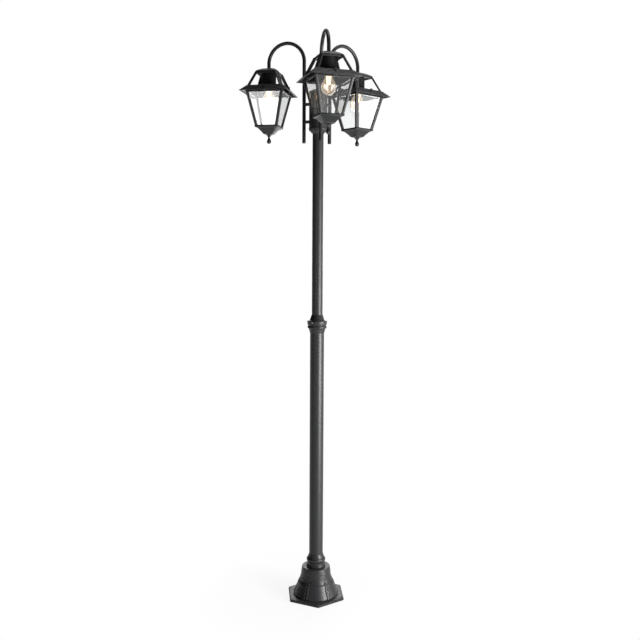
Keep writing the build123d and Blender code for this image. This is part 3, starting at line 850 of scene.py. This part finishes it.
def makeMidCollar():
    r, upper = midCollar["lowerInner"], midCollar["upperInner"]
    p, z = midCollar["proud"], midCollar["joint"]
    down, up = z - lowOf("mid_collar"), highOf("mid_collar") - z
    below = [(0.42, 0.38), (0.72, 0.35), (0.82, 0.27), (0.84, 0.16), (0.76, 0.04), (0.66, 0.01)]
    above = [(0.66, 0.04), (0.78, 0.07), (0.86, 0.17), (0.93, 0.30), (0.97, 0.42), (0.88, 0.45), (0.25, 0.50),
             (0.10, 0.53)]
    outer = [(r + 0.6, z - down)] + [(r + out * p, z - share * down) for out, share in below]
    outer += [(r + out * p, z + share * up) for out, share in above] + [(upper + 0.6, z + up)]
    profile = [(r, z - down)] + rounded(outer, midCollar["softness"]) + [(upper, z + up), (upper, z), (r, z)]
    bm = bmesh.new()
    sweep(bm, profile, circle(128), closed=True)
    out = (Matrix.Translation((collarGrubs["holeReach"] * mm, 0, middleOf("collar_grub_screws") * mm))
           @ Matrix.Rotation(pi / 2, 4, "Y"))
    count = collarGrubs["count"]
    spots = [turned(collarGrubs["angle"] + 360 * i / count) @ out for i in range(count)]
    mesh = drilled(meshFrom(bm, "midCollarTurned"), spots, collarGrubs["hole"], 40)
    shade(mesh, 38.0)
    place("midCollarTurned", mesh, "post", "post_paint", "mid_collar")


makeFootCollar()
makeMidCollar()
print("collars done")

arm = {
    "tailOffset": 63.0,
    "bendRadius": 80.0,
    "tubeRadius": 7.5,
    "wall": 1.6,
    "intoCrown": 6.0,            # the leg ends this far under the crown's seat
    "rings": 190,
}
crown = {
    "foot": 2256.0,
    "seat": 2261.0,
    "top": 2283.0,
    "rim": 9.0,
    "half": 47.0,
    "lip": 4.0,
    "armHole": 7.8,
}


def makeArm(side, tree):
    node = side + "_arm"
    bendHeight = highOf(node) - arm["bendRadius"] - arm["tubeRadius"]
    mesh = runTree(tree, TailOffset=arm["tailOffset"], BendRadius=arm["bendRadius"], TailEnd=lowOf(node),
                   BendHeight=bendHeight, LegEnd=crown["seat"] - arm["intoCrown"],
                   TubeRadius=arm["tubeRadius"], Finish=finishes["head_paint"])
    shade(mesh, 60.0)
    piece = place(side + "ArmTube", mesh, "post", "head_paint", node, armPlace(side))
    wall = piece.modifiers.new("wall", "SOLIDIFY")
    wall.thickness, wall.offset = arm["wall"] * mm, -1.0


armTree = makeArmTree()
for side in lanterns:
    makeArm(side, armTree)
print("arms done")

knob = {
    "count": 4,
    "flutes": 10,
    "radius": 5.5,
    "high": 8.0,
    "fluteDepth": 0.8,
    "shankRadius": 2.0,
    "finish": "knob_metal",
}
roof = {
    "deck": 2203.0,
    "deckHalf": 74.0,
    "deckThick": 3.0,
    "eave": 2180.0,
    "eaveHalf": 102.0,
    "eaveThick": 3.0,
    "steps": 4,
    "stepRise": 2.8,
    "holderHole": 20.1,
    "strapWide": 17.0,
    "strapThick": 7.0,
    "seatHalf": 80.0,
    "seatWide": 4.0,
    "seatLow": 2182.3,
    "bossReach": 86.0,
    "bossRadius": 6.5,
    "bossTop": highOf("middle_roof_screws") - knob["high"],
    "corner": 1.6,
    "softness": 0.7,
}
rimTop = crown["foot"] + crown["rim"]


# Crown: round hole for the arm, pyramid, rim and the recess over the lamp housing
def addCrown(bm):
    half, dome, lip = crown["half"], crown["top"] - rimTop, crown["half"] - crown["lip"]
    shares = [(0.30, 0.90), (0.40, 0.86), (0.60, 0.66), (0.88, 0.26), (1.0, 0.0)]
    cap = [(half * out, rimTop + dome * up) for out, up in shares]
    cap += [(half, crown["foot"]), (lip, crown["foot"]), (lip, crown["seat"])]
    rows = [(crown["armHole"], z, hole()) for z in (crown["seat"], crown["top"] - 2)]
    rows += [(r, z, square(roof["corner"])) for r, z in rounded(cap, 1.2)]
    skin(bm, rows, closed=True)


# Deck with the lampholder's hole, and the stepped slopes round it
def addSlopes(bm):
    deck, deckHalf, eave, eaveHalf = roof["deck"], roof["deckHalf"], roof["eave"], roof["eaveHalf"]
    run = (eaveHalf - deckHalf) / roof["steps"]
    fall = (deck - eave - roof["stepRise"] * (roof["steps"] - 1)) / roof["steps"]
    slope = []
    for i in range(roof["steps"]):
        z, r = deck - i * (fall + roof["stepRise"]), deckHalf + i * run
        slope += [(r, z), (r + run, z - fall)]
    thick = roof["eaveThick"]
    slope[-1] = (eaveHalf, eave)
    slope += [(eaveHalf, eave - thick), (eaveHalf - thick, eave - thick), (eaveHalf - thick, eave),
              (deckHalf - thick, deck - thick)]
    rows = [(roof["holderHole"], z, hole()) for z in (deck - roof["deckThick"], deck)]
    rows += [(r, z, square(roof["corner"])) for r, z in rounded(slope, roof["softness"], 2)]
    skin(bm, rows, closed=True)


# Four straps on the corner lines, from the deck to the crown
def addStraps(bm):
    wide, deep = roof["strapWide"] / 2, roof["strapThick"] / 2 + 0.5
    high = ((crown["half"] - 2) * sqrt(2) - deep, 0.0, rimTop - 1, deep, wide)
    low = ((roof["deckHalf"] - 1.5) * sqrt(2) - deep, 0.0, roof["deck"] - 1, deep, wide)
    for i in range(4):
        bar(bm, low, high, 1.1, 45 + 90 * i)


# Ring that the cage closes against, and the bosses of the thumb screws
def addSeats(bm):
    outer, inner = roof["seatHalf"], roof["seatHalf"] - roof["seatWide"]
    share = (outer - roof["deckHalf"]) / (roof["eaveHalf"] - roof["deckHalf"])
    low, top = roof["seatLow"], roof["deck"] - share * (roof["deck"] - roof["eave"]) - 1.5
    ring = [(outer, low), (outer, top), (inner, top), (inner, low)]
    sweep(bm, rounded(ring, 0.5, 2, closed=True), square(roof["corner"]), closed=True)
    r, top = roof["bossRadius"], roof["bossTop"]
    profile = rounded([(0.0, low), (r, low), (r, top), (0.0, top)], 0.8)
    for i in range(knob["count"]):
        start = len(bm.verts)
        sweep(bm, profile, circle(40))
        bm.verts.ensure_lookup_table()
        out = turned(360 * i / knob["count"]) @ Vector((roof["bossReach"] * mm, 0, 0))
        bmesh.ops.translate(bm, verts=bm.verts[start:], vec=out)


def makeRoofMesh():
    bm = bmesh.new()
    for add in (addCrown, addSlopes, addStraps, addSeats):
        add(bm)
    return meshFrom(bm, "roofCasting")


knobTree = makeKnobTree()


def makeRoof(side):
    body, spot = side + "_head", hangingPlace(side)
    place(side + "RoofCasting", makeRoofMesh(), body, "head_paint", side + "_roof", spot)
    node = side + "_roof_screws"
    mesh = runTree(knobTree, Count=knob["count"], Flutes=knob["flutes"], Radius=knob["radius"],
                   High=knob["high"], FluteDepth=knob["fluteDepth"], ShankRadius=knob["shankRadius"],
                   ShankLength=roof["bossTop"] - lowOf(node), Reach=roof["bossReach"],
                   Height=roof["bossTop"], Finish=finishes[knob["finish"]])
    shade(mesh, 35.0)
    place(side + "ThumbScrews", mesh, body, knob["finish"], node, spot)


cage = {
    "pan": 2042.0,
    "panHigh": 44.0,
    "footHalf": 49.0,
    "topHalf": 79.0,
    "postWide": 11.5,
    "over": 1.0,
    "frameLow": 2174.0,
    "frameHigh": 8.0,
    "frameWide": 12.0,
    "lugEnd": 91.0,
    "lugWide": 16.0,
    "lugThick": 4.0,
    "paneThick": 3.0,
    "paneInset": 2.5,
    "panWall": 4.5,
    "paneBevel": 0.4,
    "corner": 2.0,
    "softness": 0.9,
}


def makeCageMesh():
    bm = bmesh.new()
    z, h, c, wall = cage["pan"], cage["panHigh"], cage["footHalf"] + cage["over"], cage["panWall"]
    room = cage["footHalf"] - cage["paneInset"] - cage["paneThick"] - 1
    steps = [(0.11, 1.0), (0.13, 0.92), (0.20, 0.84), (0.34, 0.78), (0.43, 0.74), (0.45, 0.68),
             (0.59, 0.49), (0.62, 0.46), (0.76, 0.28), (0.84, 0.25), (0.86, 0.22), (1.0, 0.17), (1.0, 0.0)]
    hollow = [(0.78, 0.15), (0.58, 0.46), (0.46, 0.62)]
    profile = [(0.0, z - h)] + [(c * out, z - h * down) for out, down in steps]
    profile += [(room, z), (room, z - 0.06 * h)] + [(out * c - wall, z - down * h) for out, down in hollow]
    profile.append((0.0, z - hollow[-1][1] * h))
    sweep(bm, rounded(profile, cage["softness"]), square(cage["corner"]))
    half = cage["postWide"] / 2
    low, high = cage["footHalf"] - half, cage["topHalf"] - half
    for i in range(4):
        bar(bm, (low, low, z - 2, half, half), (high, high, cage["frameLow"], half, half), 1.2, 90 * i)
    return meshFrom(bm, "cageCasting")


def makeFrameMesh():
    bm = bmesh.new()
    low, high = cage["frameLow"], cage["frameLow"] + cage["frameHigh"]
    outer = cage["topHalf"] + cage["over"]
    inner = outer - cage["frameWide"]
    ring = [(outer, low), (outer, high), (inner, high), (inner, low)]
    sweep(bm, rounded(ring, 1.0, 3, closed=True), square(cage["corner"]), closed=True)
    into, wide = 1.5, cage["lugWide"] / 2
    middle, reach = (outer + cage["lugEnd"]) / 2 - into, (cage["lugEnd"] - outer) / 2 + into
    for i in range(4):
        bar(bm, (middle, 0, high - cage["lugThick"], reach, wide), (middle, 0, high, reach, wide), 1.5,
            90 * i)
    return meshFrom(bm, "topFrameCasting")


# Four panes, a little bevelled round their edges
def makePaneMesh():
    bm = bmesh.new()
    outside, inside = cage["paneInset"], cage["paneInset"] + cage["paneThick"]
    rings = []
    for z, half in ((cage["pan"], cage["footHalf"]), (cage["frameLow"], cage["topHalf"])):
        wide, near, far = half - cage["postWide"], half - inside, half - outside
        rings.append([(far, -wide, z), (far, wide, z), (near, wide, z), (near, -wide, z)])
    for i in range(4):
        block(bm, rings, 90 * i)
    bmesh.ops.recalc_face_normals(bm, faces=bm.faces)
    bmesh.ops.bevel(bm, geom=list(bm.edges), offset=cage["paneBevel"] * mm, segments=2, affect="EDGES",
                    profile=0.5)
    return meshFrom(bm, "paneGlassCut", 3.0)


finial = {"drop": 30.0, "ball": 9.25, "spigot": 3.0, "spigotHigh": 7.0}


def makeFinialMesh():
    z, d, r = cage["pan"] - cage["panHigh"], finial["drop"], finial["ball"]
    ballZ = z - d + r
    ball = [(r * cos(radians(a)), ballZ + r * sin(radians(a))) for a in range(28, -84, -8)]
    spigot, top = finial["spigot"], z + finial["spigotHigh"]
    shares = [(0.58, 0.0), (0.56, 0.07), (0.44, 0.13), (0.46, 0.22), (0.62, 0.31)]
    neck = [(0.0, top), (spigot, top), (spigot, z)] + [(out * r, z - down * d) for out, down in shares]
    bm = bmesh.new()
    sweep(bm, rounded(neck + ball[:1], 1.0, 3)[:-1] + ball + [(0.0, ball[-1][1])], circle(72))
    return meshFrom(bm, "finialTurned")


def makeCage(side):
    body, spot = side + "_body", hangingPlace(side)
    place(side + "CageCasting", makeCageMesh(), body, "head_paint", side + "_cage", spot)
    place(side + "TopFrame", makeFrameMesh(), body, "head_paint", side + "_top_frame", spot)
    place(side + "PaneGlass", makePaneMesh(), body, "pane_glass", side + "_panes", spot)
    place(side + "FinialBall", makeFinialMesh(), body, "head_paint", side + "_finial", spot)


bulb = {
    "radius": 30.0,
    "wall": 1.0,
    "neck": 12.1,
    "neckInCap": 5.0,
    "capRadius": 13.2,
    "threadPitch": 3.62,
    "threadDepth": 0.65,
    "threadSpan": (0.16, 0.66),  # shares of the cap's height
    "sticks": 4,
    "stickRadius": 1.0,
    "stickHigh": 30.0,
    "wideRing": 9.1,
    "narrowRing": 5.9,
    "steps": 96,
    "contact": 4.6,
}
bulbShares = [(0.0, 0.0), (0.03, 0.38), (0.11, 0.71), (0.225, 0.925), (0.365, 1.0), (0.49, 0.94),
              (0.62, 0.78), (0.745, 0.585), (0.86, 0.45)]


# Two walls of thin glass, joined at the mouth and closed at the bottom
def makeBulbMesh():
    low, top = lowOf("middle_bulb_glass"), highOf("middle_bulb_glass")
    fine = 8

    def wallLine(inset):
        points = [((bulb["radius"] - inset) * out, low + inset + (top - low - inset) * up)
                  for up, out in bulbShares]
        neck = bulb["neck"] - inset
        mirrored = (-points[1][0], points[1][1])
        line = smoothLine([mirrored] + points + [(neck, top - bulb["neckInCap"])], fine)
        return [(0.0, line[fine][1])] + line[fine + 1:] + [(neck, top)]

    bm = bmesh.new()
    sweep(bm, wallLine(0.0) + wallLine(bulb["wall"])[::-1], circle(bulb["steps"]))
    return meshFrom(bm, "bulbGlassBlown", 60.0)


# Screw cap: the thread is a wave that climbs once a turn
def makeCapMesh():
    low, top = lowOf("middle_bulb_cap"), highOf("middle_bulb_cap")
    high = top - low
    start, end = (low + share * high for share in bulb["threadSpan"])

    def threadReach(r, z, angle):
        fade = softStep(z - start, 2.0) * softStep(end - z, 2.0)
        wave = 0.5 - 0.5 * cos(2 * pi * (z - low) / bulb["threadPitch"] - angle)
        return r - bulb["threadDepth"] * (1 - wave) * fade

    plain, threaded = circle(bulb["steps"]), outlineOf(bulb["steps"], threadReach)
    r, neck, contact = bulb["capRadius"], bulb["neck"] + 0.1, bulb["contact"]
    bottom = highOf("middle_bulb_glass") + 0.1
    inside = [(0.0, bottom), (neck, bottom), (neck, low), (r - 0.5, low), (r, low + 0.8)]
    rows = [(x, z, plain) for x, z in inside]
    climb, count = 0.7 * high - 0.8, 44
    rows += [(r, low + 0.8 + climb * i / count, threaded) for i in range(1, count + 1)]
    tip = [(r, top - 0.28 * high), (r - 2, top - 0.18 * high), (contact + 1.6, top - 0.12 * high),
           (contact + 0.6, top - 0.05 * high), (contact, top), (0.0, top)]
    rows += [(x, z, plain) for x, z in rounded(tip, 0.8)]
    bm = bmesh.new()
    skin(bm, rows)
    return meshFrom(bm, "bulbCapRolled", 45.0)


stickTree = makeStickTree()


def makeBulb(side):
    body, spot = side + "_bulb", hangingPlace(side)
    place(side + "BulbGlass", makeBulbMesh(), body, "bulb_glass", side + "_bulb_glass", spot)
    place(side + "BulbCap", makeCapMesh(), body, "bulb_cap_metal", side + "_bulb_cap", spot)
    node = side + "_bulb_filaments"
    mesh = runTree(stickTree, Count=bulb["sticks"], Radius=bulb["stickRadius"], High=bulb["stickHigh"],
                   WideRing=bulb["wideRing"], NarrowRing=bulb["narrowRing"], Height=middleOf(node),
                   FirstAngle=45.0, Finish=finishes["filament"])
    shade(mesh, 50.0)
    place(side + "LightSticks", mesh, body, "filament", node, spot)


for side in lanterns:
    makeRoof(side)
    makeCage(side)
    makeBulb(side)
    print(side, "lantern done")

# What is left of the CAD nodes keeps its shape and gets its finish by its record slot
slotOf = {row["node"]: row["material_slot"] for row in frame["record"]["subparts"]}
for node, shape in frame["nodes"].items():
    if not shape.hide_render:
        shape.data.materials.clear()
        shape.data.materials.append(finishes[slotOf[node]])
print("CAD nodes finished")

studio = {
    "floorColour": (0.86, 0.86, 0.86),
    "floorSeen": 0.86,                 # share of plain white that the camera sees beside the foot
    "floorHalf": 30.0,
    "shadowReach": (0.16, 0.55),       # the floor is all white beyond the second
    "ambient": 0.06,
    "backdrop": (0.15, 0.86, 0.50),    # where the room that is mirrored is white
    "backdropEdge": (0.88, 0.96),
    "glossDark": 0.02,
    "glossPale": 0.48,
    "glossSide": (0.85, 0.30, 0.45),   # where it is paler
    "glossEdge": (0.0, 0.95),
    "lamps": {                         # places and sizes in metres
        "key": {"at": (2.4, -2.45, 0.62), "aim": (0.0, 0.0, 0.5), "size": (1.5, 1.8), "watts": 350.0},
        "rim": {"at": (3.05, -0.75, 1.6), "aim": (0.0, 0.0, 1.5), "size": (0.9, 2.6), "watts": 26.0},
        "top": {"at": (1.4, 0.6, 9.0), "aim": (0.1, 0.0, 1.0), "size": (2.4, 2.6), "watts": 270.0},
        "back": {"at": (0.9, 3.4, 1.7), "aim": (0.0, 0.0, 0.1), "size": (2.6, 0.8), "watts": 45.0},
        "pane": {"at": (-1.72, -1.98, 1.48), "aim": (-0.19, 0.03, 2.08), "size": (0.55, 0.55),
                 "watts": 5.5},        # mirrored by the left lantern's front pane
    },
}


def makeFloor():
    material = bpy.data.materials.new("floorWhite")
    material.use_nodes = True
    tree = material.node_tree
    tree.nodes.clear()
    plain = addNode(tree, "ShaderNodeBsdfDiffuse", {"Color": (*studio["floorColour"], 1.0)})
    white = addNode(tree, "ShaderNodeEmission", {"Color": (1.0, 1.0, 1.0, 1.0), "Strength": 1.0})
    path = addNode(tree, "ShaderNodeLightPath").outputs
    seen = maths(tree, "MAXIMUM", path["Is Camera Ray"], path["Is Glossy Ray"])
    seen = maths(tree, "MAXIMUM", seen, path["Is Transmission Ray"])
    away = addNode(tree, "ShaderNodeVectorMath", {0: objectPoint(tree)}, operation="LENGTH").outputs["Value"]
    share = spread(tree, away, studio["floorSeen"], 1.0, *studio["shadowReach"])
    mixed = addNode(tree, "ShaderNodeMixShader", {
        0: times(tree, seen, share), 1: plain.outputs[0], 2: white.outputs[0]})
    addNode(tree, "ShaderNodeOutputMaterial", {"Surface": mixed.outputs[0]})
    bm = bmesh.new()
    bmesh.ops.create_grid(bm, x_segments=8, y_segments=8, size=studio["floorHalf"])
    mesh = bpy.data.meshes.new("floor")
    bm.to_mesh(mesh)
    bm.free()
    mesh.materials.append(material)
    newObject("floor", mesh)


# What is mirrored sees a dim room with a pale side, what is seen straight sees plain white
def makeWorld():
    world = bpy.data.worlds.new("studioRoom")
    bpy.context.scene.world = world
    world.use_nodes = True
    tree = world.node_tree
    background = tree.nodes["Background"]
    background.inputs["Color"].default_value = (1.0, 1.0, 1.0, 1.0)
    path = addNode(tree, "ShaderNodeLightPath").outputs
    direction = addNode(tree, "ShaderNodeTexCoord").outputs["Generated"]

    def towards(name, low, high, edge):
        values = {0: direction, 1: tuple(Vector(studio[name]).normalized())}
        facing = addNode(tree, "ShaderNodeVectorMath", values, operation="DOT_PRODUCT")
        return spread(tree, facing.outputs["Value"], low, high, *studio[edge])

    room = towards("glossSide", studio["glossDark"], studio["glossPale"], "glossEdge")
    room = maths(tree, "MAXIMUM", room, towards("backdrop", 0.0, 1.0, "backdropEdge"))
    mirrored = maths(tree, "MINIMUM", path["Glossy Depth"], 1.0)
    glassy = path["Is Transmission Ray"]
    shiny = maths(tree, "MAXIMUM", path["Is Glossy Ray"], times(tree, glassy, mirrored))
    straight = times(tree, glassy, minus(tree, 1.0, mirrored))
    seen = maths(tree, "MAXIMUM", path["Is Camera Ray"], straight)
    level = mixLevel(tree, seen, mixLevel(tree, shiny, studio["ambient"], room), 1.0)
    tree.links.new(level, background.inputs["Strength"])


def makeLamps():
    for name, lamp in studio["lamps"].items():
        light = bpy.data.lights.new(name + "Lamp", "AREA")
        light.shape = "RECTANGLE"
        light.size, light.size_y = lamp["size"]
        light.energy = lamp["watts"]
        holder = newObject(name + "Lamp", light)
        holder.location = lamp["at"]
        toward = Vector(lamp["aim"]) - Vector(lamp["at"])
        holder.rotation_euler = toward.to_track_quat("-Z", "Y").to_euler()


# Where the photograph was taken from, worked out from the post's own proportions
view = {
    "away": 3.2988,              # metres from the post's axis
    "height": 1.5315,            # metres over the floor
    "side": -10.27,              # degrees, as the next three are
    "yaw": 0.212,
    "pitch": -5.41,
    "roll": 0.313,
    "lens": 43.57,               # millimetres, as the sensor is
    "sensor": 36.0,
}


def makeCamera():
    lens = bpy.data.cameras.new("photoCamera")
    lens.lens, lens.sensor_width = view["lens"], view["sensor"]
    lens.sensor_fit = "HORIZONTAL"
    lens.clip_start, lens.clip_end = 0.05, 100.0
    camera = newObject("photoCamera", lens)
    side = radians(view["side"])
    heading, pitch, roll = radians(view["yaw"]) - side, radians(view["pitch"]), radians(view["roll"])
    forward = Vector((sin(heading) * cos(pitch), cos(heading) * cos(pitch), sin(pitch)))
    right = forward.cross(Vector((0, 0, 1))).normalized()
    up = right.cross(forward)
    right, up = right * cos(roll) + up * sin(roll), up * cos(roll) - right * sin(roll)
    spot = Vector((sin(side) * view["away"], -cos(side) * view["away"], view["height"]))
    turn = Matrix((right, up, -forward)).transposed().to_4x4()
    camera.matrix_world = Matrix.Translation(spot) @ turn
    bpy.context.scene.camera = camera


makeFloor()
makeWorld()
makeLamps()
makeCamera()
bpy.context.scene.view_settings.view_transform = "Standard"
print("studio done")
